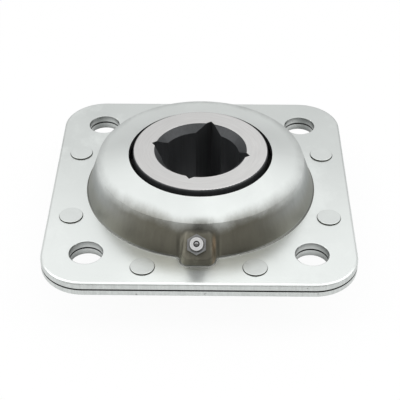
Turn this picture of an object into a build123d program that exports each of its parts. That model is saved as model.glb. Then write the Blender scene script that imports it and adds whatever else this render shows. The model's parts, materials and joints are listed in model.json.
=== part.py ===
from build123d import *
from math import asin, cos, radians, sin, sqrt, tan
import os

# Flanged bearing unit with a square bore, two riveted pressed flanges and a greased ball bearing.
# Frame: shaft axis is Z, the flanges part at Z = 0, the greased side is +Z, the grease fitting faces -Y.
# All lengths are in millimetres and all angles in degrees.

# Driving sizes of the bore: a square for the shaft with a round relief and a chamfer at each end
square_bore_width = 38.89
square_bore_turn = 33.05
bore_relief = 1.985
bore_chamfer = 4.0

# Driving sizes of the bearing
ball_diameter = 15.875
ball_count = 9
race_conformity = 0.52
ball_clearance = 0.1
inner_ring_wall = 6.463
inner_ring_width = 57.15
inner_land_drop = 5.05
inner_ring_edge = 0.8
outer_ring_wall = 7.0625
outer_ring_side = 8.0625
outer_land_rise = 4.6
outer_ring_edge = 0.6
seat_clearance = 0.08

# Driving sizes of the lubrication groove in the outer ring
groove_to_seal = 3.6
groove_width = 3.2
groove_depth = 1.2
groove_hole_radius = 1.2

# Driving sizes of the seals
seal_inset = 2.8
seal_slot_width = 1.3
seal_slot_depth = 1.6
shield_thickness = 0.9
shield_clearance = 0.1
lip_thickness = 2.4
lip_reach = 2.35
lip_grip = 3.6
lip_clearance = 0.1
lip_wedge = 1.3
lip_tip_thickness = 0.6

# Driving sizes of the cage
cage_sheet = 1.1
cage_inner_reach = 3.2
cage_outer_reach = 3.0
cage_pocket_clearance = 0.15
cage_rivet_radius = 1.2
cage_rivet_head_radius = 2.0
cage_rivet_head_height = 0.6

# Driving sizes of the flanges
flange_thickness = 4.3
flange_edge_radius = 1.5
flange_seam_radius = 0.5
flange_corner_radius = 23.8125
bolt_hole_radius = 8.73
bolt_hole_roll = 0.5
bolt_land = 10.557
dome_opening_gap = 2.5
dome_opening_rise = 6.15
dome_top_slope = 12.6
dome_wall_thickness = 6.0
dome_wall_lean = 19.0
dome_shoulder_radius = 10.0
dome_base_fillet = 0.7
dome_inner_fillet = 2.0
dome_lip_radius = 0.7

# Driving sizes of the rivets
rivet_count = 8
rivet_first_angle = 22.5
rivet_land = 5.31
rivet_shank_radius = 4.7
rivet_head_radius = 6.28
rivet_head_height = 0.75
rivet_head_edge = 0.2
rivet_hole_clearance = 0.1

# Driving sizes of the grease boss
boss_width = 18.0
boss_offset = -0.55
boss_projection = 5.92
boss_front_height = 3.3
boss_sink = 2.0
boss_face_angle = 45.0
boss_draft = 8.0
boss_corner_radius = 4.0
boss_edge_radius = 2.0
boss_flare_radius = 4.0
boss_wall = 3.6
boss_pocket_corner_radius = 2.0

# Driving sizes of the grease fitting
fitting_offset = -1.1
fitting_height = 9.3
fitting_hex_width = 9.525
fitting_hex_height = 3.4
fitting_hex_chamfer = 0.5
fitting_neck_radius = 3.0
fitting_neck_height = 1.3
fitting_flare_height = 1.0
fitting_head_radius = 3.8
fitting_head_face_radius = 3.45
fitting_head_height = 2.9
fitting_stem_radius = 4.0
fitting_stem_length = 6.2
fitting_hole_clearance = 0.05
fitting_channel_radius = 2.1
fitting_inlet_radius = 0.9
fitting_floor_thickness = 1.0
fitting_mouth_radius = 1.5
fitting_mouth_land = 0.45
check_ball_radius = 1.85
check_ball_clearance = 0.08
spring_wire_radius = 0.175
spring_turns = 5
spring_clearance = 0.08

# Bearing sizes that follow: the square's corners, then the races, lands and sphere outwards
ball_radius = ball_diameter / 2
race_radius = race_conformity * ball_diameter
square_corner_reach = square_bore_width / sqrt(2)
round_bore_radius = square_bore_width / 2 + bore_relief
pitch_radius = square_corner_reach + inner_ring_wall + ball_clearance + ball_radius
inner_land_radius = pitch_radius - inner_land_drop
outer_land_radius = pitch_radius + outer_land_rise
outer_sphere_radius = pitch_radius + ball_radius + outer_ring_wall
inner_race_centre = pitch_radius - ball_radius - ball_clearance + race_radius
outer_race_centre = pitch_radius + ball_radius + ball_clearance - race_radius
outer_ring_width = ball_diameter + 2 * outer_ring_side
half_outer = outer_ring_width / 2
seal_height = half_outer - seal_inset
groove_height = seal_height - groove_to_seal
groove_floor = sqrt(outer_sphere_radius ** 2 - groove_height ** 2) - groove_depth
seal_slot_radius = outer_land_radius + seal_slot_depth
shield_outer_radius = seal_slot_radius - shield_clearance
lip_tip_radius = inner_land_radius + lip_clearance
lip_root_radius = lip_tip_radius + lip_wedge
shield_inner_radius = lip_tip_radius + lip_reach
lip_outer_radius = shield_inner_radius + lip_grip
pocket_radius = ball_radius + cage_pocket_clearance
cage_inner_radius = pitch_radius - cage_inner_reach
cage_outer_radius = pitch_radius + cage_outer_reach

# Flange sizes that follow: the dome from the sphere, the rivets and bolts outside the dome
seat_radius = outer_sphere_radius + seat_clearance
dome_base_radius = seat_radius + dome_wall_thickness
dome_base_reach = dome_base_radius + dome_base_fillet
dome_opening_radius = inner_land_radius + dome_opening_gap
dome_opening_height = half_outer + flange_thickness + dome_opening_rise
slope = tan(radians(dome_top_slope))
lean = tan(radians(dome_wall_lean))
apex = dome_opening_height + slope * dome_opening_radius
rivet_circle_radius = dome_base_reach + rivet_land + rivet_head_radius
rivet_hole_radius = rivet_shank_radius + rivet_hole_clearance
rivet_grip = 2 * flange_thickness
bolt_spacing = sqrt(2) * (dome_base_reach + bolt_land + bolt_hole_radius)
flange_size = bolt_spacing + 2 * flange_corner_radius

# Boss and fitting sizes that follow: the slanted face from the boss's front edge
face_cos = cos(radians(boss_face_angle))
face_sin = sin(radians(boss_face_angle))
face_normal = (0, -face_cos, face_sin)
boss_reach = dome_base_radius + boss_projection
boss_face_distance = boss_reach * face_cos + (flange_thickness + boss_front_height) * face_sin
boss_back = (boss_face_distance - apex * face_sin) / (face_cos - slope * face_sin) + boss_sink
boss_depth = boss_reach - boss_back
boss_height = boss_front_height + boss_depth * face_cos / face_sin
fitting_axis_height = flange_thickness + fitting_height
fitting_y = -(boss_face_distance - fitting_axis_height * face_sin) / face_cos
fitting_head_base = fitting_hex_height + fitting_neck_height
fitting_widest = fitting_head_base + fitting_flare_height
fitting_tip = fitting_head_base + fitting_head_height
channel_floor = fitting_floor_thickness - fitting_stem_length
mouth_cone_top = fitting_tip - fitting_mouth_land
mouth_cone_base = mouth_cone_top - (fitting_channel_radius - fitting_mouth_radius)
check_ball_rest = sqrt(2) * (check_ball_radius + check_ball_clearance)
check_ball_height = mouth_cone_top + fitting_mouth_radius - check_ball_rest
spring_radius = fitting_channel_radius - spring_wire_radius - spring_clearance
spring_bottom = channel_floor + spring_wire_radius + spring_clearance
spring_reach = check_ball_radius + spring_wire_radius + spring_clearance
spring_top = check_ball_height - sqrt(spring_reach ** 2 - spring_radius ** 2)
spring_height = spring_top - spring_bottom

os.makedirs("parts", exist_ok=True)


def top_height(radius, drop=0.0):
    # Height of the dome's sloping top at a radius, lowered by a sheet thickness measured square to it.
    return apex - drop / cos(radians(dome_top_slope)) - radius * slope


def meet_sphere(sphere_radius, drop):
    # Radius at which the sloping top meets a sphere about the origin.
    offset = top_height(0, drop)
    a = 1 + slope ** 2
    b = -2 * slope * offset
    c = offset ** 2 - sphere_radius ** 2
    return (-b + sqrt(b ** 2 - 4 * a * c)) / (2 * a)


# Pressed half: a rounded square plate with a domed seat, the same for both flanges
shoulder_r = (dome_base_radius - lean * (apex - flange_thickness)) / (1 - lean * slope)
shoulder_z = top_height(shoulder_r)
inner_r = meet_sphere(seat_radius, flange_thickness)
inner_z = top_height(inner_r, flange_thickness)
inner_mid = asin(inner_z / seat_radius) / 2
lip_z = top_height(dome_opening_radius, flange_thickness)
near = 0.01


def corners_at(sketch, radius, height):
    # Corners of a section sketch at one radius and height.
    return sketch.vertices().filter_by(lambda v: abs(v.X - radius) < near and abs(v.Z - height) < near)


def circles_at(part, height, radius):
    # Circular edges of one radius at one height.
    level = part.edges().filter_by(GeomType.CIRCLE).filter_by(lambda e: abs(e.center().Z - height) < near)
    return level.filter_by(lambda e: abs(e.radius - radius) < near)


def dome_foot(part, height):
    # Where the dome and its boss rise from the plate: the longest inner outline of the plate's face.
    level = part.faces().filter_by(Axis.Z).filter_by(lambda f: abs(f.center().Z - height) < near)
    return level.sort_by(SortBy.AREA)[-1].inner_wires().sort_by(SortBy.LENGTH)[-1].edges()


def rim_at(part, height):
    # The plate's outline at one height: its straight sides and its corner arcs.
    sides = part.edges().filter_by(GeomType.LINE).filter_by(lambda e: abs(e.center().Z - height) < near)
    flat = sides.filter_by(lambda e: max(abs(e.center().X), abs(e.center().Y)) > flange_size / 2 - near)
    corners = part.edges().filter_by(GeomType.CIRCLE).filter_by(
        lambda e: abs((e @ 0).Z - height) < near and abs((e @ 1).Z - height) < near
    )
    return flat + corners.filter_by(lambda e: abs(e.radius - flange_corner_radius) < near)


with BuildPart() as pressed_half:
    with BuildSketch(Plane.XY):
        RectangleRounded(flange_size, flange_size, flange_corner_radius)
        Circle(seat_radius, mode=Mode.SUBTRACT)
    extrude(amount=flange_thickness)
    with BuildSketch(Plane.XZ) as dome_section:
        with BuildLine():
            ThreePointArc(
                (seat_radius, 0),
                (seat_radius * cos(inner_mid), seat_radius * sin(inner_mid)),
                (inner_r, inner_z),
            )
            Polyline(
                (inner_r, inner_z),
                (dome_opening_radius, lip_z),
                (dome_opening_radius, dome_opening_height),
                (shoulder_r, shoulder_z),
                (dome_base_radius, flange_thickness),
                (dome_base_radius, 0),
                (seat_radius, 0),
            )
        make_face()
        fillet(corners_at(dome_section, shoulder_r, shoulder_z), radius=dome_shoulder_radius)
        fillet(corners_at(dome_section, inner_r, inner_z), radius=dome_inner_fillet)
        fillet(corners_at(dome_section, dome_opening_radius, lip_z), radius=dome_lip_radius)
        fillet(corners_at(dome_section, dome_opening_radius, dome_opening_height), radius=dome_lip_radius)
    revolve(axis=Axis.Z)
    with BuildSketch(Plane.XY):
        with GridLocations(bolt_spacing, bolt_spacing, 2, 2):
            Circle(bolt_hole_radius)
        with PolarLocations(rivet_circle_radius, rivet_count, start_angle=rivet_first_angle):
            Circle(rivet_hole_radius)
    extrude(amount=flange_thickness, mode=Mode.SUBTRACT)
    fillet(circles_at(pressed_half, flange_thickness, bolt_hole_radius), radius=bolt_hole_roll)
    fillet(circles_at(pressed_half, 0, bolt_hole_radius), radius=flange_seam_radius)
    fillet(rim_at(pressed_half, flange_thickness), radius=flange_edge_radius)
    fillet(rim_at(pressed_half, 0), radius=flange_seam_radius)

# Grease boss: a drafted bump pressed out of the dome, with a slanted face for the fitting
slant_plane = Plane(
    origin=Vector(*face_normal) * boss_face_distance,
    x_dir=(1, 0, 0),
    z_dir=face_normal,
)
pocket_plane = slant_plane.offset(-boss_wall)
fitting_plane = Plane(
    origin=(fitting_offset, fitting_y, fitting_axis_height),
    x_dir=(1, 0, 0),
    z_dir=face_normal,
)


def front_corners(part):
    # The two rising edges at the front of a tapered block.
    rising = part.edges().filter_by(lambda e: abs((e @ 0).Z - (e @ 1).Z) > near)
    return rising.group_by(Axis.Y)[0]


with BuildPart() as boss_form:
    with BuildSketch(Plane.XY.offset(flange_thickness)):
        with Locations((boss_offset, -boss_back - boss_depth / 2)):
            Rectangle(boss_width, boss_depth)
    extrude(amount=boss_height, taper=boss_draft)
    fillet(front_corners(boss_form), radius=boss_corner_radius)
    split(bisect_by=slant_plane, keep=Keep.BOTTOM)
    slant_rim = boss_form.faces().sort_by(lambda f: f.normal_at().dot(Vector(*face_normal)))[-1].edges()
    fillet(slant_rim.group_by(Axis.Y)[:-1], radius=boss_edge_radius)
    Sphere(seat_radius, mode=Mode.SUBTRACT)

with BuildPart() as boss_pocket:
    with BuildSketch(Plane.XY):
        with Locations((boss_offset, -boss_back - (boss_depth - boss_wall) / 2)):
            Rectangle(boss_width - 2 * boss_wall, boss_depth - boss_wall)
    extrude(amount=boss_height, taper=boss_draft)
    fillet(front_corners(boss_pocket), radius=boss_pocket_corner_radius)
    split(bisect_by=pocket_plane, keep=Keep.BOTTOM)

# Upper flange: the pressed half with the grease boss, its pocket and the hole for the fitting
with BuildPart() as upper_flange:
    add(pressed_half.part)
    add(boss_form.part)
    boss_flanks = new_edges(pressed_half.part, boss_form.part, combined=upper_flange.part)
    fillet(boss_flanks.filter_by(lambda e: abs((e @ 0).Z - (e @ 1).Z) > near), radius=boss_flare_radius)
    fillet(dome_foot(upper_flange, flange_thickness), radius=dome_base_fillet)
    add(boss_pocket.part, mode=Mode.SUBTRACT)
    with BuildSketch(fitting_plane):
        Circle(fitting_stem_radius + fitting_hole_clearance)
    extrude(amount=-2 * boss_wall, mode=Mode.SUBTRACT)
upper_flange.part.label = "upper_flange"
export_step(upper_flange.part, "parts/upper_flange.step")

# Lower flange: the plain pressed half turned over
with BuildPart() as lower_flange:
    mirror(pressed_half.part, about=Plane.XY)
    fillet(dome_foot(lower_flange, -flange_thickness), radius=dome_base_fillet)
lower_flange.part.label = "lower_flange"
export_step(lower_flange.part, "parts/lower_flange.step")

# Rivets: flat headed at both ends, through both flanges
rivet_places = PolarLocations(rivet_circle_radius, rivet_count, start_angle=rivet_first_angle).locations
for number, place in enumerate(rivet_places, start=1):
    with BuildPart() as rivet:
        with Locations((place.position.X, place.position.Y, 0)):
            Cylinder(rivet_shank_radius, rivet_grip)
            with Locations((0, 0, flange_thickness), (0, 0, -flange_thickness - rivet_head_height)):
                Cylinder(
                    rivet_head_radius,
                    rivet_head_height,
                    align=(Align.CENTER, Align.CENTER, Align.MIN),
                )
        head_rims = rivet.edges().filter_by(GeomType.CIRCLE).group_by(Axis.Z)
        fillet(head_rims[0] + head_rims[-1], radius=rivet_head_edge)
    rivet.part.label = f"rivet_{number}"
    export_step(rivet.part, f"parts/rivet_{number}.step")

# Grease fitting body: stem, hexagon and nozzle turned about its slanted axis
with BuildPart() as grease_fitting_body:
    with BuildSketch(fitting_plane):
        RegularPolygon(fitting_hex_width / 2, 6, major_radius=False, rotation=30)
    extrude(amount=fitting_hex_height)
    chamfer(
        grease_fitting_body.faces().sort_by(lambda f: f.normal_at().dot(Vector(*face_normal)))[-1].edges(),
        length=fitting_hex_chamfer,
    )
    with BuildSketch(Plane(fitting_plane.origin, x_dir=fitting_plane.x_dir, z_dir=-fitting_plane.y_dir)):
        with BuildLine():
            Polyline(
                (0, -fitting_stem_length),
                (fitting_stem_radius, -fitting_stem_length),
                (fitting_stem_radius, 0),
                (fitting_neck_radius, 0),
                (fitting_neck_radius, fitting_head_base),
                (fitting_head_radius, fitting_widest),
                (fitting_head_face_radius, fitting_tip),
                (0, fitting_tip),
                close=True,
            )
        make_face()
    revolve(axis=Axis(fitting_plane.origin, fitting_plane.z_dir))
    with BuildSketch(Plane(fitting_plane.origin, x_dir=fitting_plane.x_dir, z_dir=-fitting_plane.y_dir)):
        with BuildLine():
            Polyline(
                (0, -fitting_stem_length),
                (fitting_inlet_radius, -fitting_stem_length),
                (fitting_inlet_radius, channel_floor),
                (fitting_channel_radius, channel_floor),
                (fitting_channel_radius, mouth_cone_base),
                (fitting_mouth_radius, mouth_cone_top),
                (fitting_mouth_radius, fitting_tip),
                (0, fitting_tip),
                close=True,
            )
        make_face()
    revolve(axis=Axis(fitting_plane.origin, fitting_plane.z_dir), mode=Mode.SUBTRACT)
grease_fitting_body.part.label = "grease_fitting_body"
export_step(grease_fitting_body.part, "parts/grease_fitting_body.step")

# Check ball: closes the fitting's mouth from inside
with BuildPart() as grease_fitting_ball:
    with Locations(fitting_plane.offset(check_ball_height)):
        Sphere(check_ball_radius)
grease_fitting_ball.part.label = "grease_fitting_ball"
export_step(grease_fitting_ball.part, "parts/grease_fitting_ball.step")

# Check ball's spring: an open coil between the channel's floor and the ball
with BuildPart() as grease_fitting_spring:
    with BuildLine() as coil:
        Helix(
            pitch=spring_height / spring_turns,
            height=spring_height,
            radius=spring_radius,
            center=fitting_plane.offset(spring_bottom).origin,
            direction=fitting_plane.z_dir,
        )
    with BuildSketch(Plane(origin=coil.line @ 0, z_dir=coil.line % 0)):
        Circle(spring_wire_radius)
    sweep(path=coil.line, is_frenet=True)
grease_fitting_spring.part.label = "grease_fitting_spring"
export_step(grease_fitting_spring.part, "parts/grease_fitting_spring.step")

# Outer ring: spherical outside for the seat, with a raceway, seal slots and a grease groove
with BuildPart() as outer_ring:
    with BuildSketch(Plane.XZ) as outer_section:
        with Locations(((outer_land_radius + outer_sphere_radius) / 2, 0)):
            Rectangle(outer_sphere_radius - outer_land_radius, outer_ring_width)
        Circle(outer_sphere_radius, mode=Mode.INTERSECT)
        fillet(outer_section.vertices().group_by(Axis.X)[-1], radius=outer_ring_edge)
        with Locations((outer_race_centre, 0)):
            Circle(race_radius, mode=Mode.SUBTRACT)
        with Locations(
            (outer_land_radius + seal_slot_depth / 2, seal_height),
            (outer_land_radius + seal_slot_depth / 2, -seal_height),
        ):
            Rectangle(seal_slot_depth, seal_slot_width, mode=Mode.SUBTRACT)
        with Locations((groove_floor + groove_depth, groove_height)):
            Rectangle(2 * groove_depth, groove_width, mode=Mode.SUBTRACT)
    revolve(axis=Axis.Z)
    with BuildSketch(Plane.XZ):
        with Locations((0, groove_height)):
            Circle(groove_hole_radius)
    extrude(amount=outer_sphere_radius, both=True, mode=Mode.SUBTRACT)
outer_ring.part.label = "outer_ring"
export_step(outer_ring.part, "parts/outer_ring.step")

# Inner ring: wider than the outer one, with a raceway and the square shaft bore
with BuildPart() as inner_ring:
    with BuildSketch(Plane.XZ) as inner_section:
        with Locations(((round_bore_radius + inner_land_radius) / 2, 0)):
            Rectangle(inner_land_radius - round_bore_radius, inner_ring_width)
        fillet(inner_section.vertices().group_by(Axis.X)[-1], radius=inner_ring_edge)
        chamfer(inner_section.vertices().group_by(Axis.X)[0], length=bore_chamfer)
        with Locations((inner_race_centre, 0)):
            Circle(race_radius, mode=Mode.SUBTRACT)
    revolve(axis=Axis.Z)
    with BuildSketch(Plane.XY):
        Rectangle(square_bore_width, square_bore_width, rotation=square_bore_turn)
    extrude(amount=inner_ring_width, both=True, mode=Mode.SUBTRACT)
inner_ring.part.label = "inner_ring"
export_step(inner_ring.part, "parts/inner_ring.step")

# Balls: evenly spaced on the pitch circle
ball_places = PolarLocations(pitch_radius, ball_count).locations
for number, place in enumerate(ball_places, start=1):
    with BuildPart() as ball:
        with Locations((place.position.X, place.position.Y, 0)):
            Sphere(ball_radius)
    ball.part.label = f"ball_{number}"
    export_step(ball.part, f"parts/ball_{number}.step")

# Cage halves: pressed sheet rings with a rounded pocket over each ball, riveted between the balls
with BuildPart() as cage_upper:
    with PolarLocations(pitch_radius, ball_count):
        Sphere(pocket_radius + cage_sheet)
    with BuildSketch(Plane.XY):
        Circle(cage_outer_radius)
        Circle(cage_inner_radius, mode=Mode.SUBTRACT)
    extrude(amount=pocket_radius + 2 * cage_sheet, mode=Mode.INTERSECT)
    with BuildSketch(Plane.XY):
        Circle(cage_outer_radius)
        Circle(cage_inner_radius, mode=Mode.SUBTRACT)
    extrude(amount=cage_sheet)
    with PolarLocations(pitch_radius, ball_count):
        Sphere(pocket_radius, mode=Mode.SUBTRACT)
    with BuildSketch(Plane.XY):
        with PolarLocations(pitch_radius, ball_count, start_angle=180 / ball_count):
            Circle(cage_rivet_radius)
    extrude(amount=cage_sheet, mode=Mode.SUBTRACT)
cage_upper.part.label = "cage_upper"
export_step(cage_upper.part, "parts/cage_upper.step")

with BuildPart() as cage_lower:
    mirror(cage_upper.part, about=Plane.XY)
cage_lower.part.label = "cage_lower"
export_step(cage_lower.part, "parts/cage_lower.step")

# Cage rivets: one between each pair of balls
cage_rivet_places = PolarLocations(pitch_radius, ball_count, start_angle=180 / ball_count).locations
for number, place in enumerate(cage_rivet_places, start=1):
    with BuildPart() as cage_rivet:
        with Locations((place.position.X, place.position.Y, 0)):
            Cylinder(cage_rivet_radius, 2 * cage_sheet)
            with Locations((0, 0, cage_sheet), (0, 0, -cage_sheet - cage_rivet_head_height)):
                Cylinder(
                    cage_rivet_head_radius,
                    cage_rivet_head_height,
                    align=(Align.CENTER, Align.CENTER, Align.MIN),
                )
    cage_rivet.part.label = f"cage_rivet_{number}"
    export_step(cage_rivet.part, f"parts/cage_rivet_{number}.step")

# Seals: a steel washer held in the outer ring's slot, with a rubber lip that rides on the inner ring
for side, name in ((1, "upper"), (-1, "lower")):
    with BuildPart() as seal_shield:
        with BuildSketch(Plane.XZ):
            with Locations(((shield_inner_radius + shield_outer_radius) / 2, side * seal_height)):
                Rectangle(shield_outer_radius - shield_inner_radius, shield_thickness)
        revolve(axis=Axis.Z)
    seal_shield.part.label = f"{name}_seal_shield"
    export_step(seal_shield.part, f"parts/{name}_seal_shield.step")
    with BuildPart() as seal_lip:
        with BuildSketch(Plane.XZ):
            with BuildLine():
                Polyline(
                    (lip_outer_radius, side * seal_height + lip_thickness / 2),
                    (lip_root_radius, side * seal_height + lip_thickness / 2),
                    (lip_tip_radius, side * seal_height + lip_tip_thickness / 2),
                    (lip_tip_radius, side * seal_height - lip_tip_thickness / 2),
                    (lip_root_radius, side * seal_height - lip_thickness / 2),
                    (lip_outer_radius, side * seal_height - lip_thickness / 2),
                    close=True,
                )
            make_face()
            with Locations(((shield_inner_radius + lip_outer_radius) / 2, side * seal_height)):
                Rectangle(lip_outer_radius - shield_inner_radius, shield_thickness, mode=Mode.SUBTRACT)
        revolve(axis=Axis.Z)
    seal_lip.part.label = f"{name}_seal_lip"
    export_step(seal_lip.part, f"parts/{name}_seal_lip.step")
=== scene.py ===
import bpy
import json
import math
from mathutils import Matrix, Vector

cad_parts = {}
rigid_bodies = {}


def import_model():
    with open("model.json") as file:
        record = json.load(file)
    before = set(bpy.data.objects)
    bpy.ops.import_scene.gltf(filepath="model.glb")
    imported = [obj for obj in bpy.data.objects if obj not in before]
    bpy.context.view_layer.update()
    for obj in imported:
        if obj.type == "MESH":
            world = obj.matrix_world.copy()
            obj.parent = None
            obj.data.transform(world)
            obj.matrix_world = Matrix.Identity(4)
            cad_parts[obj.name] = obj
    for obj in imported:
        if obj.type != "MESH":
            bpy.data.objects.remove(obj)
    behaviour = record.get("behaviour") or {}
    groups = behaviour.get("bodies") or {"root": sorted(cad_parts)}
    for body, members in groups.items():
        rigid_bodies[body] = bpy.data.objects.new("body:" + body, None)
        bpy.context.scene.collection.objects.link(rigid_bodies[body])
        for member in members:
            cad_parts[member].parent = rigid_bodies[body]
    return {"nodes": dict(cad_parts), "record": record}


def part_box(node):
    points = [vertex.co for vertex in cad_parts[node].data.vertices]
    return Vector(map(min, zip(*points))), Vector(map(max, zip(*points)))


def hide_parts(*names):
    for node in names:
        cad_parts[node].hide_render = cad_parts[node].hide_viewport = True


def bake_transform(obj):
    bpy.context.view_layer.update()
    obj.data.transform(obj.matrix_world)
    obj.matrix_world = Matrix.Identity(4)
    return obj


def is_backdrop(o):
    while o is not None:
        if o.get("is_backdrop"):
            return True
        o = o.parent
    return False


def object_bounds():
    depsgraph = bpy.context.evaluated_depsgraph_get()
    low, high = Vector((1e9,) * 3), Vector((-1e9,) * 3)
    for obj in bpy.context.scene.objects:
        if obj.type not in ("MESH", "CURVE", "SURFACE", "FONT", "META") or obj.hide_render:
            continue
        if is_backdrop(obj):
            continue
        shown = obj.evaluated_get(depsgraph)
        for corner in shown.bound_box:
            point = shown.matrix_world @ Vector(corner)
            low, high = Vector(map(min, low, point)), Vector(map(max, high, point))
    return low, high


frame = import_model()
cad_low, cad_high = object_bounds()

bl_info = {
    "name": "Flanged bearing unit",
    "version": (1, 0, 0),
    "blender": (4, 5, 0),
    "location": "3D View > Sidebar > Bearing",
    "description": "Dresses a riveted flanged bearing unit with its finishes, small parts and stage",
    "category": "Object",
}

MM = 0.001
nodes = frame["nodes"]
rivets = [name for name in nodes if name.startswith("rivet_")]

# Places and sizes that the finishes follow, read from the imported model
bolts = next(m for m in frame["record"]["mounts"] if m["name"] == "flange_bolts")["dims"]
bolt_reach = bolts["spacing_x_mm"] / 2 * MM
bolt_hole = bolts["hole_r_mm"] * MM
edge_reach = cad_high.x - bolt_reach
rivet_low, rivet_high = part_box("rivet_1")
rivet_reach = ((rivet_low + rivet_high) / 2).xy.length
rivet_head = (rivet_high.x - rivet_low.x) / 2
rivet_half_step = math.pi / len(rivets)
rivet_top = rivet_high.z
rivet_stand = 0.75 * MM
plate_top = rivet_top - rivet_stand
check_ball = sum(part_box("grease_fitting_ball"), Vector()) / 2

# The grease fitting's axis leans forward by 45 degrees
slant = math.sqrt(0.5)

# Soft steps of the flanges' finish and of the light and shade painted on them, each from where it starts to
# where it is full.
# Sides run along x, depths along y and heights from the seam. Turns are angles about the middle of the
# dome's rounding, and the dome's front is y over the distance from the shaft's axis.
plate_light_depth = (75.0 * MM, -70.0 * MM)
plate_edge = (edge_reach - 0.35 * MM, edge_reach - 0.1 * MM)
apron_light_depth = (-58.0 * MM, -68.0 * MM)
apron_light_sides = (50.0 * MM, 20.0 * MM)
bolt_wall = (bolt_hole + 0.40 * MM, bolt_hole + 0.15 * MM)
bolt_shade_depth = (plate_top, 0.6 * MM)
rivet_shade_ring = (rivet_head + 0.42 * MM, rivet_head + 0.10 * MM)
seam_shade_height = (0.62 * MM, 0.38 * MM)
dome_rise = (plate_top + 0.2 * MM, plate_top + 1.2 * MM)
rear_light_depth = (5.0 * MM, 40.0 * MM)
dome_front = (-0.35, -0.95)
foot_shade_start = (plate_top + 0.002 * MM, plate_top + 0.02 * MM)
foot_shade_end = (plate_top + 1.1 * MM, plate_top + 0.5 * MM)
wall_turn = (1.35, 0.20)
wall_foot_shade_turn = (0.3, -0.45)
lift_sides = (8.0 * MM, 30.0 * MM)
shade_sides = (-10.0 * MM, 45.0 * MM)
boss_sides = (12.5 * MM, 10.5 * MM)
boss_depth = (-57.0 * MM, -60.0 * MM)
dark_streak_sides = (20.0 * MM, 1.0 * MM)
dark_streak_depth = (-50.5 * MM, -57.5 * MM)

# Lines along the boss's flanks, a painted warm reflection and a line of painted shade: how far from its
# middle, where they fade out and where they are full
boss_middle = -0.5 * MM
warm_reflection_line = (8.2 * MM, 1.6 * MM, 0.3 * MM)
warm_reflection_sides = (-9.0 * MM, 8.0 * MM)
brim_shade_line = (10.2 * MM, 1.5 * MM, 0.4 * MM)

# The stage: the floor's width, the point that the camera looks at, and each lamp's name, place, width
# and length, and power in watts
floor_width = 8.0
aim_point = Vector((-0.1 * MM, -14.2 * MM, 4.3 * MM))
softboxes = (
    ("top_softbox", (0.0, -0.12, 0.85), (1.3, 0.60), 3.0),
    ("rear_softbox", (0.0, 0.72, 0.80), (1.2, 0.3), 0.30),
    ("left_softbox", (-0.80, -0.10, 0.55), (0.8, 0.7), 1.7),
    ("right_softbox", (0.80, -0.10, 0.55), (0.8, 0.7), 1.7),
)


class Wire:
    """One output of a shader node, so that maths on it reads as maths."""

    def __init__(self, paint, socket):
        self.paint = paint
        self.socket = socket

    def sums(self, operation, *values):
        return self.paint.node("Math", {"operation": operation}, dict(enumerate(values)))

    def __add__(self, other):
        return self.sums("ADD", self, other)

    def __radd__(self, other):
        return self.sums("ADD", other, self)

    def __sub__(self, other):
        return self.sums("SUBTRACT", self, other)

    def __rsub__(self, other):
        return self.sums("SUBTRACT", other, self)

    def __mul__(self, other):
        return self.sums("MULTIPLY", self, other)

    def __rmul__(self, other):
        return self.sums("MULTIPLY", other, self)

    def __truediv__(self, other):
        return self.sums("DIVIDE", self, other)

    def __rtruediv__(self, other):
        return self.sums("DIVIDE", other, self)

    def __pow__(self, other):
        return self.sums("POWER", self, other)

    def __rpow__(self, other):
        return self.sums("POWER", other, self)

    def __gt__(self, other):
        return self.sums("GREATER_THAN", self, other)

    def __lt__(self, other):
        return self.sums("LESS_THAN", self, other)

    def __abs__(self):
        return self.sums("ABSOLUTE", self)

    def sine(self):
        return self.sums("SINE", self)

    def cosine(self):
        return self.sums("COSINE", self)

    def arctan2(self, other):
        """The angle whose rise is this and whose run is the other, all the way round."""
        return self.sums("ARCTAN2", self, other)

    def hypot(self, other):
        """The distance that is this much one way and the other at right angles to it."""
        return (self * self + other * other) ** 0.5

    def most(self, other):
        return self.sums("MAXIMUM", self, other)

    def to_and_fro(self, span):
        """Runs up to the span and back to zero, over and over."""
        return self.sums("PINGPONG", self, span)


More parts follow.
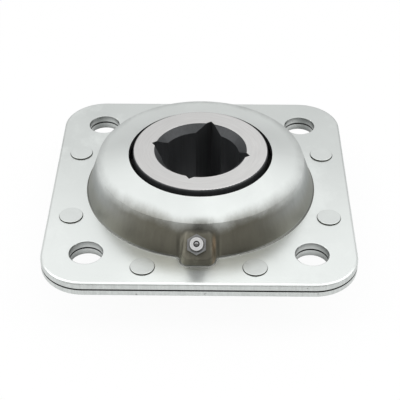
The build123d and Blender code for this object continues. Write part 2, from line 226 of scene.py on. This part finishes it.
class Paint:
    """A material or a world being mixed: makes its nodes and joins them."""

    def __init__(self, owner, coordinates="Object"):
        self.owner = owner
        owner.use_nodes = True
        self.tree = owner.node_tree
        self.tree.nodes.clear()
        self.place = self.node("TexCoord", output=coordinates)
        axes = self.node("SeparateXYZ", {}, {0: self.place}, output=None)
        self.x, self.y, self.z = (Wire(self, s) for s in axes.outputs)

    def node(self, kind, settings=None, inputs=None, output=0):
        """Makes a node of that kind, with its settings and the values or wires of its inputs."""
        made = self.tree.nodes.new("ShaderNode" + kind)
        for key, value in (settings or {}).items():
            if key == "stops":
                ramp = made.color_ramp
                while len(ramp.elements) < len(value):
                    ramp.elements.new(0.5)
                for element, (position, colour) in zip(ramp.elements, value):
                    element.position = position
                    element.color = colour
            else:
                setattr(made, key, value)
        for key, value in (inputs or {}).items():
            if isinstance(value, Wire):
                self.tree.links.new(value.socket, made.inputs[key])
            else:
                made.inputs[key].default_value = value
        return made if output is None else Wire(self, made.outputs[output])

    def vector(self, x, y, z):
        return self.node("CombineXYZ", {}, {0: x, 1: y, 2: z})

    def noise(self, scale, detail, rough, at=None):
        values = {"Scale": scale, "Detail": detail, "Roughness": rough, "Vector": at or self.place}
        return self.node("TexNoise", {}, values)

    def ease(self, value, low, high, start=0.0, end=1.0):
        """A smooth step of a value: start at low, end at high."""
        settings = {"interpolation_type": "SMOOTHSTEP"}
        return self.node("MapRange", settings, {0: value, 1: low, 2: high, 3: start, 4: end})

    def line(self, value, middle, outer, inner):
        """One within inner of the middle, and falling to zero at outer from it."""
        return self.ease(abs(value - middle), outer, inner)

    def blend(self, factor, first, second):
        """A colour between two colours."""
        return self.node("Mix", {"data_type": "RGBA"}, {0: factor, 6: first, 7: second}, output=2)

    def mottle(self, factor, darker, paler, tint=(1.0, 1.0, 1.0)):
        """A tint between two levels."""
        return self.blend(factor, grey(darker, tint), grey(paler, tint))

    def cover(self, colour, *layers):
        """A colour with others laid over it in order, each by its mask."""
        for mask, layer in layers:
            colour = self.blend(mask, colour, layer)
        return colour

    def ray(self, kind):
        """One where the ray that asks is of that kind, as in Is Camera Ray."""
        return self.node("LightPath", output=kind)

    def finish(self, colour, rough, relief, strength, depth, metallic=1.0):
        """Ends a material: its colour, roughness and metal, and its relief with a Bump's two settings."""
        normal = self.node("Bump", {}, {"Strength": strength, "Distance": depth, "Height": relief})
        values = {"Base Color": colour, "Roughness": rough, "Metallic": metallic, "Normal": normal}
        self.node("OutputMaterial", {}, {0: self.node("BsdfPrincipled", {}, values)}, output=None)
        return self.owner


def material(name):
    return Paint(bpy.data.materials.new(name))


def grey(level, tint=(1.0, 1.0, 1.0)):
    """A level of grey, or of a tint, as a colour socket takes it."""
    return (level * tint[0], level * tint[1], level * tint[2], 1.0)


def wear(name, finish):
    """Gives a CAD node that finish."""
    piece = nodes[name]
    piece.data.materials.clear()
    piece.data.materials.append(finish)


class HousingSettings(bpy.types.PropertyGroup):
    """Sizes and colours of the pressed flanges."""

    zinc: bpy.props.FloatVectorProperty(
        name="Zinc",
        description="Colour of the zinc plate",
        subtype="COLOR",
        size=3,
        default=(0.76, 0.79, 0.775),
    )
    # The drawn wall's colour, partly its own tone and partly painted shade; it also tints the painted shade
    # on the flanges and rivets
    drawn: bpy.props.FloatVectorProperty(
        name="Drawn wall",
        description="Colour of the dome's drawn wall",
        subtype="COLOR",
        size=3,
        default=(0.18, 0.172, 0.138),
    )
    shoulder_reach: bpy.props.FloatProperty(
        name="Shoulder reach",
        description="From the shaft's axis to the middle of the dome's rounding",
        default=49.15 * MM,
        unit="LENGTH",
        precision=4,
    )
    shoulder_height: bpy.props.FloatProperty(
        name="Shoulder height",
        description="From the seam to the middle of the dome's rounding",
        default=14.03 * MM,
        unit="LENGTH",
        precision=4,
    )
    roughness: bpy.props.FloatProperty(
        name="Roughness",
        description="Roughness of the zinc plate",
        default=0.34,
        min=0.05,
        max=1.0,
        subtype="FACTOR",
    )


class StageSettings(bpy.types.PropertyGroup):
    """The camera's place, turn and lens."""

    azimuth: bpy.props.FloatProperty(
        name="Azimuth",
        description="Turn of the camera round the unit",
        default=math.radians(0.88),
        subtype="ANGLE",
    )
    elevation: bpy.props.FloatProperty(
        name="Elevation",
        description="Height of the camera above the horizon",
        default=math.radians(38.38),
        subtype="ANGLE",
    )
    roll: bpy.props.FloatProperty(
        name="Roll",
        description="Turn of the picture",
        default=math.radians(-0.11),
        subtype="ANGLE",
    )
    distance: bpy.props.FloatProperty(
        name="Distance",
        description="From the camera to the point that it looks at",
        default=600.1 * MM,
        unit="LENGTH",
    )
    lens: bpy.props.FloatProperty(
        name="Lens",
        description="Focal length on a 36 mm sensor",
        default=98.01,
        subtype="DISTANCE_CAMERA",
    )


def plate_tone_and_painted_light(paint, zinc, cloud, domed):
    """The plate and the dome's top in a cloudy tone, with painted light: darker towards the rear, and
    brighter on the dome's rear and before it.
    """
    # Painted light: paler at the front of the plate and darker towards the rear
    near = paint.mottle(cloud, 1.00, 1.12, zinc)
    far = paint.mottle(cloud, 0.82, 0.94, zinc)
    haze = paint.noise(26.0, 5.0, 0.65, at=paint.vector(paint.x, paint.y * 0.6, paint.z))
    # Painted light: brighter on the dome's rear and on the plate before the dome
    rear = paint.ease(paint.y, *rear_light_depth) * domed
    apron_light = paint.ease(paint.y, *apron_light_depth) * paint.ease(abs(paint.x), *apron_light_sides)
    return paint.cover(
        far,
        (paint.ease(paint.y, *plate_light_depth), near),
        (paint.ease(haze, 0.50, 0.66) * 0.5, grey(1.14, zinc)),
        (rear.most(apron_light) * 0.75, grey(1.22, zinc)),
    )


def wall_tone_and_shade(paint, zinc, drawn, streak, turn, domed):
    """Two tones of the drawn wall, both streaked, their darkness partly its own tone and partly painted
    shade: grey for its sides and rear, and dull brown for its front, a painted reflection that darkens
    towards +x.
    """
    # Painted shade on the lower wall towards its foot
    foot_shade = paint.ease(turn, *wall_foot_shade_turn) * domed
    dull = paint.mottle(streak, 0.75, 1.15, drawn)
    dull = paint.blend(paint.ease(paint.x, *shade_sides) * 0.5, dull, grey(0.5, drawn))
    side = paint.mottle(streak, 0.38, 0.50, zinc)
    side = paint.blend(foot_shade * 0.55, side, grey(1.3, drawn))
    return side, dull


def rivet_distance(radius, angle):
    """From the nearest rivet's axis. The first rivet stands half a step round from the x axis."""
    apart = rivet_half_step - angle.to_and_fro(rivet_half_step)
    along = radius * apart.cosine() - rivet_reach
    return along.hypot(radius * apart.sine())


def zinc_plate():
    """Bright zinc on pressed sheet: cloudy satin, darker and streaked where the wall was drawn, that
    darkness partly its own tone and partly painted shade and reflection, with more painted light and shade
    on the plate.
    """
    look = bpy.context.scene.bearing_housing
    zinc = look.zinc
    drawn = look.drawn
    paint = material("zinc_plate")
    height = abs(paint.z)
    radius = paint.x.hypot(paint.y)
    angle = paint.y.arctan2(paint.x)
    cloud = paint.noise(30.0, 4.0, 0.55)
    speck = paint.noise(1100.0, 3.0, 0.6)
    rolling = paint.noise(60.0, 3.0, 0.6, at=paint.vector(paint.x * 0.5, paint.y * 9.0, paint.z))
    around = paint.vector(angle * 0.06, paint.z * 0.25, radius * 0.3)
    streak = paint.noise(300.0, 4.0, 0.65, at=around)
    smear = paint.noise(55.0, 5.0, 0.7, at=paint.vector(paint.x, paint.y * 0.35, paint.z))
    shear = paint.noise(520.0, 3.0, 0.7, at=paint.vector(paint.x, paint.y, paint.z * 0.15))

    # From the dome's opening outwards the turn falls: it is half pi on top of the rounding, about 0 where
    # the wall begins, and less down the wall
    turn = (height - look.shoulder_height).arctan2(radius - look.shoulder_reach)
    domed = paint.ease(height, *dome_rise)
    front = paint.ease(paint.y / radius, *dome_front)
    lift = paint.ease(abs(paint.x), *lift_sides) * front * 0.32
    # The drawn wall's band: darker partly by its own tone and partly by painted shade and reflection
    wall = paint.ease(turn + (smear - 0.5) * 0.9 - lift, *wall_turn) * domed

    # The boss on the upper dome, darkened like the front wall partly by its own tone and partly by painted
    # shade, with a painted warm reflection on its right flank, a line of painted shade on both flanks, and
    # a dark streak above it
    upper = domed * (paint.z > 0.0)
    near_boss = paint.ease(paint.y, *boss_depth) * upper
    boss = paint.ease(abs(paint.x), *boss_sides) * near_boss
    from_middle = abs(paint.x - boss_middle)
    warm_reflection = paint.line(from_middle, *warm_reflection_line) * near_boss * paint.ease(paint.x, *warm_reflection_sides)
    brim_shade = paint.line(from_middle, *brim_shade_line) * near_boss
    # A dark streak on the shoulder above the boss
    dark_streak = paint.ease(smear + paint.ease(abs(paint.x), *dark_streak_sides, -0.35, 0.14), 0.46, 0.66)
    dark_streak = dark_streak * paint.ease(paint.y, *dark_streak_depth) * upper

    # The plate's corners are rounded about the bolt holes, so its edge is as far from them all round
    over_x = abs(paint.x) - bolt_reach
    over_y = abs(paint.y) - bolt_reach
    edge = paint.ease(over_x.most(0.0).hypot(over_y.most(0.0)), *plate_edge)
    # Painted shade: the bolt holes' walls darker deeper down
    hole = paint.ease(over_x.hypot(over_y), *bolt_wall)
    nick = paint.ease(paint.noise(240.0, 2.0, 0.5), 0.70, 0.76) * edge
    # Painted shade: a dark ring on the plate round each rivet's head
    crease_shade = paint.ease(rivet_distance(radius, angle), *rivet_shade_ring)
    # Painted shade: a dark band at the dome's foot, just above the plate
    foot_shade = paint.ease(height, *foot_shade_start) * paint.ease(height, *foot_shade_end)
    # Painted shade: the seam between the plates near black
    seam = paint.ease(height, *seam_shade_height)

    side_wall, front_wall = wall_tone_and_shade(paint, zinc, drawn, streak, turn, domed)
    colour = paint.cover(
        plate_tone_and_painted_light(paint, zinc, cloud, domed),
        (wall, paint.blend(front, side_wall, front_wall)),
        (boss * 0.8, grey(1.2, drawn)),
        (warm_reflection * 0.55, (0.30, 0.19, 0.10, 1.0)),
        (brim_shade * 0.65, grey(0.3, drawn)),
        (dark_streak * 0.7, grey(0.55, drawn)),
        (edge, paint.mottle(shear, 0.62, 0.98, zinc)),
        (nick * 0.7, grey(0.10)),
        (hole, paint.mottle(paint.ease(height, *bolt_shade_depth), 0.42, 0.74, zinc)),
        (crease_shade * 0.8, grey(0.16, drawn)),
        (foot_shade * 0.85, grey(0.35, drawn)),
        (seam, grey(0.02)),
    )
    rough = look.roughness + (cloud - 0.5) * 0.14 + (rolling - 0.5) * 0.08
    rough = rough + wall * 0.05 + edge * 0.1 + boss * 0.16
    relief = speck * 0.3 + rolling * 0.25 + wall * streak * 0.4 + edge * shear * 2.0
    return paint.finish(colour, rough, relief, 0.12, 0.2 * MM)


def rivet_zinc():
    """Zinc on the rivets' flattened heads: dimpled satin, with painted shade on the head's side where it
    meets the plate.
    """
    look = bpy.context.scene.bearing_housing
    paint = material("rivet_zinc")
    cloud = paint.noise(170.0, 4.0, 0.6)
    speck = paint.noise(1400.0, 2.0, 0.6)
    # Painted shade on the head's side below its crown
    unshaded_crown = paint.ease(abs(paint.z), rivet_top - 0.30 * MM, rivet_top - 0.08 * MM)
    colour = paint.blend(unshaded_crown, grey(0.35, look.drawn), paint.mottle(cloud, 0.86, 1.0, look.zinc))
    return paint.finish(colour, 0.36 + (cloud - 0.5) * 0.18, speck * 0.6 + cloud * 1.6, 0.16, 0.2 * MM)


def fitting_zinc():
    """Turned steel of the grease fitting: a bright nozzle with a faint dark ring, on a hexagon darkened by
    painted reflection, with painted shade in its mouth and a painted shadow round the nozzle's rim.
    """
    paint = material("fitting_zinc")
    speck = paint.noise(1500.0, 3.0, 0.6)
    cloud = paint.noise(420.0, 3.0, 0.6)

    # Seen from the check ball: reach is away from the fitting's axis, and out is outwards along it
    uphill = (paint.y + paint.z) * slant - (check_ball.y + check_ball.z) * slant
    out = (paint.z - paint.y) * slant - (check_ball.z - check_ball.y) * slant
    reach = (paint.x - check_ball.x).hypot(uphill)
    nozzle = paint.ease(out, -0.9 * MM, 0.2 * MM)
    # Painted shade in the fitting's mouth
    mouth_shade = paint.ease(reach, 1.85 * MM, 1.45 * MM)
    # A faint dark ring on the nozzle's face
    dark_ring = paint.line(reach, 2.55 * MM, 0.35 * MM, 0.05 * MM)
    # Painted shadow round the nozzle's rim
    rim_shadow = paint.line(reach, 3.75 * MM, 0.5 * MM, 0.15 * MM)
    bright = paint.blend(dark_ring * 0.35, paint.mottle(speck, 0.52, 0.76), grey(0.4))
    colour = paint.cover(
        # The hexagon's darker tones, a painted reflection
        paint.mottle(cloud, 0.18, 0.30),
        (nozzle, bright),
        (mouth_shade, grey(0.05)),
        (rim_shadow * 0.7, grey(0.12)),
    )
    turned = paint.noise(900.0, 2.0, 0.5, at=paint.vector(reach * 3.0, out, 0.0))
    return paint.finish(colour, 0.24 + speck * 0.14, speck * 0.5 + turned * 0.8, 0.1, 0.08 * MM)


def ring_steel():
    """Inner ring: ground silver ends, black oxide everywhere else."""
    paint = material("ring_steel")
    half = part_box("inner_ring")[1].z
    radius = paint.x.hypot(paint.y)
    angle = paint.y.arctan2(paint.x)
    ends = paint.ease(abs(paint.z), half - 0.12 * MM, half - 0.02 * MM)
    lathe = paint.noise(40.0, 3.0, 0.6, at=paint.vector(radius * 30.0, angle * 0.05, 0.0))
    broach = paint.noise(70.0, 4.0, 0.6, at=paint.vector(paint.x * 12.0, paint.y * 12.0, paint.z * 0.3))
    cloud = paint.noise(90.0, 3.0, 0.6)
    # Painted light: the ground ends paler towards +x
    painted_sheen = paint.ease(paint.x, -34.0 * MM, 34.0 * MM, 0.72, 1.10)
    silver = paint.mottle(lathe * painted_sheen, 0.55, 0.76, (1.0, 0.995, 0.985))
    oxide = paint.mottle(broach, 0.035, 0.075, (0.95, 1.0, 1.05))
    colour = paint.blend(ends, oxide, silver)
    rough = 0.42 + (cloud - 0.5) * 0.1 - ends * 0.08
    relief = ends * lathe * 0.6 + (1.0 - ends) * broach
    return paint.finish(colour, rough, relief, 0.12, 0.1 * MM, metallic=0.5 + ends * 0.5)


def plain(name, scale, detail, tones, rough, relief, metallic=1.0):
    """A finish that one noise varies: tones are its darkest and palest grey, rough is its least and its
    span, and relief is a Bump's strength and distance."""
    paint = material(name)
    cloud = paint.noise(scale, detail, 0.6)
    colour = paint.mottle(cloud, *tones)
    return paint.finish(colour, rough[0] + cloud * rough[1], cloud, *relief, metallic=metallic)


def bright_steel():
    """Lapped steel of the balls, the outer ring and the fitting's spring."""
    return plain("bright_steel", 220.0, 3.0, (0.60, 0.68), (0.12, 0.1), (0.04, 0.05 * MM))


def ball_painted_shade():
    """Steel of the fitting's check ball, painted dark as shade deep in the fitting's mouth."""
    return plain("ball_painted_shade", 900.0, 3.0, (0.16, 0.26), (0.14, 0.1), (0.06, 0.05 * MM))


def cage_sheet():
    """Pressed sheet of the cage."""
    return plain("cage_sheet", 300.0, 4.0, (0.42, 0.56), (0.36, 0.14), (0.12, 0.1 * MM))


def seal_rubber():
    """Moulded black rubber."""
    return plain("seal_rubber", 500.0, 4.0, (0.018, 0.035), (0.5, 0.15), (0.2, 0.1 * MM), metallic=0.0)


def shield_black():
    """Black phosphate on the seal's sheet."""
    return plain("shield_black", 400.0, 4.0, (0.03, 0.06), (0.45, 0.15), (0.12, 0.1 * MM), metallic=0.6)


class BEARING_OT_flanges(bpy.types.Operator):
    """Finishes the two pressed flanges"""

    bl_idname = "bearing.flanges"
    bl_label = "Flanges"

    def execute(self, context):
        zinc = zinc_plate()
        for name in ("upper_flange", "lower_flange"):
            wear(name, zinc)
        return {"FINISHED"}


class BEARING_OT_rivets(bpy.types.Operator):
    """Finishes the eight rivets"""

    bl_idname = "bearing.rivets"
    bl_label = "Rivets"

    def execute(self, context):
        zinc = rivet_zinc()
        for name in rivets:
            wear(name, zinc)
        return {"FINISHED"}


class BEARING_OT_fitting(bpy.types.Operator):
    """Finishes the grease fitting, its check ball and spring"""

    bl_idname = "bearing.fitting"
    bl_label = "Grease fitting"

    def execute(self, context):
        wear("grease_fitting_body", fitting_zinc())
        wear("grease_fitting_ball", ball_painted_shade())
        wear("grease_fitting_spring", bright_steel())
        self.spring()
        return {"FINISHED"}

    def spring(self):
        """A copy of the spring, with its doubled points merged and its place baked in, that stands in for
        the hidden original.
        """
        coil = nodes["grease_fitting_spring"]

        # The slanted coil's box holds its length and its width along y, and its width alone along x
        bpy.ops.object.select_all(action="DESELECT")
        coil.select_set(True)
        bpy.context.view_layer.objects.active = coil
        bpy.ops.object.duplicate()
        bpy.ops.object.parent_clear(type="CLEAR_KEEP_TRANSFORM")
        spring = bpy.context.object
        spring.name = "check_spring"
        for key in list(spring.keys()):
            del spring[key]
        bpy.ops.object.mode_set(mode="EDIT")
        bpy.ops.mesh.select_all(action="SELECT")
        bpy.ops.mesh.remove_doubles(threshold=0.001 * MM)
        bpy.ops.object.mode_set(mode="OBJECT")
        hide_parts("grease_fitting_spring")
        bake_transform(spring)


class BEARING_OT_rings(bpy.types.Operator):
    """Finishes the inner and outer ring, the balls and the cage"""

    bl_idname = "bearing.rings"
    bl_label = "Rings, balls and cage"

    def execute(self, context):
        wear("inner_ring", ring_steel())
        steel = bright_steel()
        cage = cage_sheet()
        wear("outer_ring", steel)
        for name in nodes:
            if name.startswith("ball_"):
                wear(name, steel)
            if name.startswith("cage_"):
                wear(name, cage)
        return {"FINISHED"}


class BEARING_OT_seals(bpy.types.Operator):
    """Finishes the seals"""

    bl_idname = "bearing.seals"
    bl_label = "Seals"

    def execute(self, context):
        rubber = seal_rubber()
        shield = shield_black()
        for side in ("upper", "lower"):
            wear(side + "_seal_lip", rubber)
            wear(side + "_seal_shield", shield)
        return {"FINISHED"}


class BEARING_OT_stage(bpy.types.Operator):
    """Sets the floor, the light and the camera"""

    bl_idname = "bearing.stage"
    bl_label = "Stage"

    def execute(self, context):
        self.floor()
        self.world()
        self.lamps()
        self.camera()
        context.scene.view_settings.view_transform = "Standard"
        return {"FINISHED"}

    def floor(self):
        """White paper that keeps the unit's shadow, and shows paler to the camera and in the metal."""
        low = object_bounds()[0].z
        bpy.ops.mesh.primitive_plane_add(size=floor_width, location=(0.0, 0.0, low))
        floor = bpy.context.object
        floor.name = "floor"
        paint = material("floor_paper")
        seen = paint.ray("Is Camera Ray") * 0.94
        seen = seen + paint.ray("Is Glossy Ray") * 0.35 + paint.ray("Is Transmission Ray") * 0.35
        lit = paint.node("BsdfDiffuse", {}, {"Color": grey(0.85)})
        white = paint.node("Emission", {}, {"Color": grey(1.0), "Strength": 1.0})
        mixed = paint.node("MixShader", {}, {0: seen, 1: lit, 2: white})
        paint.node("OutputMaterial", {}, {0: mixed}, output=None)
        floor.data.materials.append(paint.owner)
        floor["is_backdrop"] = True

    def world(self):
        """Soft light by height, dimmer low down in front, with white behind the unit."""
        world = bpy.data.worlds.new("studio")
        paint = Paint(world, "Generated")
        stops = [(0.0, grey(0.46)), (0.45, grey(0.70)), (0.62, grey(0.96)), (0.85, grey(0.82))]
        sky = paint.node("ValToRGB", {"stops": stops}, {0: paint.z})
        low_front = paint.ease(paint.y, -0.25, -0.85) * paint.ease(paint.z, 0.60, 0.20)
        seen = paint.cover(
            sky,
            (low_front, grey(0.14, (1.0, 0.97, 0.90))),
            (paint.ray("Is Camera Ray"), grey(1.0)),
        )
        light = paint.node("Background", {}, {"Color": seen, "Strength": 1.0})
        paint.node("OutputWorld", {}, {0: light}, output=None)
        bpy.context.scene.world = world

    def lamps(self):
        """Softboxes that face the middle of the unit."""
        for name, place, size, power in softboxes:
            turn = (-Vector(place)).to_track_quat("-Z", "Y").to_euler()
            bpy.ops.object.light_add(type="AREA", location=place, rotation=turn)
            lamp = bpy.context.object
            lamp.name = name
            lamp.data.shape = "RECTANGLE"
            lamp.data.size, lamp.data.size_y = size
            lamp.data.energy = power

    def camera(self):
        look = bpy.context.scene.bearing_stage
        level = math.cos(look.elevation)
        back = Vector((
            math.sin(look.azimuth) * level,
            -math.cos(look.azimuth) * level,
            math.sin(look.elevation),
        ))
        right = Vector((math.cos(look.azimuth), math.sin(look.azimuth), 0.0))
        up = back.cross(right)
        across = right * math.cos(look.roll) + up * math.sin(look.roll)
        above = up * math.cos(look.roll) - right * math.sin(look.roll)
        turn = Matrix((across, above, back)).transposed()
        place = aim_point + back * look.distance
        bpy.ops.object.camera_add(location=place, rotation=turn.to_euler())
        camera = bpy.context.object
        camera.data.lens = look.lens
        camera.data.clip_start = 0.01
        bpy.context.scene.camera = camera


OPERATORS = (
    BEARING_OT_flanges,
    BEARING_OT_rivets,
    BEARING_OT_fitting,
    BEARING_OT_rings,
    BEARING_OT_seals,
    BEARING_OT_stage,
)


class BEARING_PT_sidebar(bpy.types.Panel):
    """Lists the unit's settings and steps"""

    bl_idname = "BEARING_PT_sidebar"
    bl_label = "Bearing unit"
    bl_space_type = "VIEW_3D"
    bl_region_type = "UI"
    bl_category = "Bearing"

    def draw(self, context):
        column = self.layout.column()
        for group in (context.scene.bearing_housing, context.scene.bearing_stage):
            for key in group.bl_rna.properties.keys():
                if key not in ("rna_type", "name"):
                    column.prop(group, key)
        for step in OPERATORS:
            column.operator(step.bl_idname)


CLASSES = (HousingSettings, StageSettings, *OPERATORS, BEARING_PT_sidebar)


def register():
    for item in CLASSES:
        bpy.utils.register_class(item)
    bpy.types.Scene.bearing_housing = bpy.props.PointerProperty(type=HousingSettings)
    bpy.types.Scene.bearing_stage = bpy.props.PointerProperty(type=StageSettings)


def unregister():
    del bpy.types.Scene.bearing_stage
    del bpy.types.Scene.bearing_housing
    for item in reversed(CLASSES):
        bpy.utils.unregister_class(item)


def main():
    register()
    bpy.ops.bearing.flanges()
    bpy.ops.bearing.rivets()
    bpy.ops.bearing.fitting()
    bpy.ops.bearing.rings()
    bpy.ops.bearing.seals()
    bpy.ops.bearing.stage()


if __name__ == "__main__":
    main()
